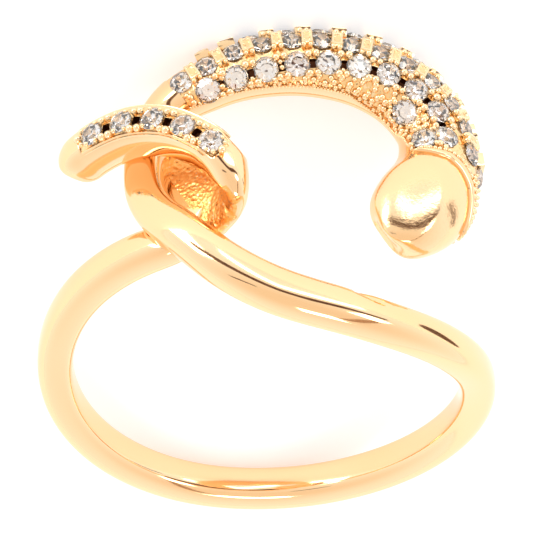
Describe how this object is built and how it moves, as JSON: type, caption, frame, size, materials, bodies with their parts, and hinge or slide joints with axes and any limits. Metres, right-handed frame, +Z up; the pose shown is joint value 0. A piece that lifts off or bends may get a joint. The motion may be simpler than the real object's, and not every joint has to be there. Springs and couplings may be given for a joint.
{
  "type": "pave knot ring",
  "caption": "Gold finger ring whose crossed band ends in a pave-set crescent with a plain domed tip and in a short pave bar.",
  "frame": {"origin": "middle of the ring's bounding box, on the surface it lies on", "axes": "+Z up from the surface; +Y runs from the side the head's crescent tip shows towards the shank, +X across the finger, with the ring lying on the back of its crescent and shank"},
  "size_m": [0.0216, 0.0237, 0.0134],
  "materials": {
    "gold": "polished pale gold plating, rough as cast inside the hook",
    "clear_stone": "clear brilliant-cut stone"
  },
  "bodies": {
    "root": {"back_row_stone_1": "clear_stone", "back_row_stone_10": "clear_stone", "back_row_stone_2": "clear_stone", "back_row_stone_3": "clear_stone", "back_row_stone_4": "clear_stone", "back_row_stone_5": "clear_stone", "back_row_stone_6": "clear_stone", "back_row_stone_7": "clear_stone", "back_row_stone_8": "clear_stone", "back_row_stone_9": "clear_stone", "bar_stone_1": "clear_stone", "bar_stone_2": "clear_stone", "bar_stone_3": "clear_stone", "bar_stone_4": "clear_stone", "bar_stone_5": "clear_stone", "front_row_stone_1": "clear_stone", "front_row_stone_10": "clear_stone", "front_row_stone_2": "clear_stone", "front_row_stone_3": "clear_stone", "front_row_stone_4": "clear_stone", "front_row_stone_5": "clear_stone", "front_row_stone_6": "clear_stone", "front_row_stone_7": "clear_stone", "front_row_stone_8": "clear_stone", "front_row_stone_9": "clear_stone", "inner_row_stone_1": "clear_stone", "inner_row_stone_2": "clear_stone", "ring_casting": "gold", "top_row_stone_1": "clear_stone", "top_row_stone_10": "clear_stone", "top_row_stone_11": "clear_stone", "top_row_stone_12": "clear_stone", "top_row_stone_13": "clear_stone", "top_row_stone_2": "clear_stone", "top_row_stone_3": "clear_stone", "top_row_stone_4": "clear_stone", "top_row_stone_5": "clear_stone", "top_row_stone_6": "clear_stone", "top_row_stone_7": "clear_stone", "top_row_stone_8": "clear_stone", "top_row_stone_9": "clear_stone"}
  },
  "joints": []
}
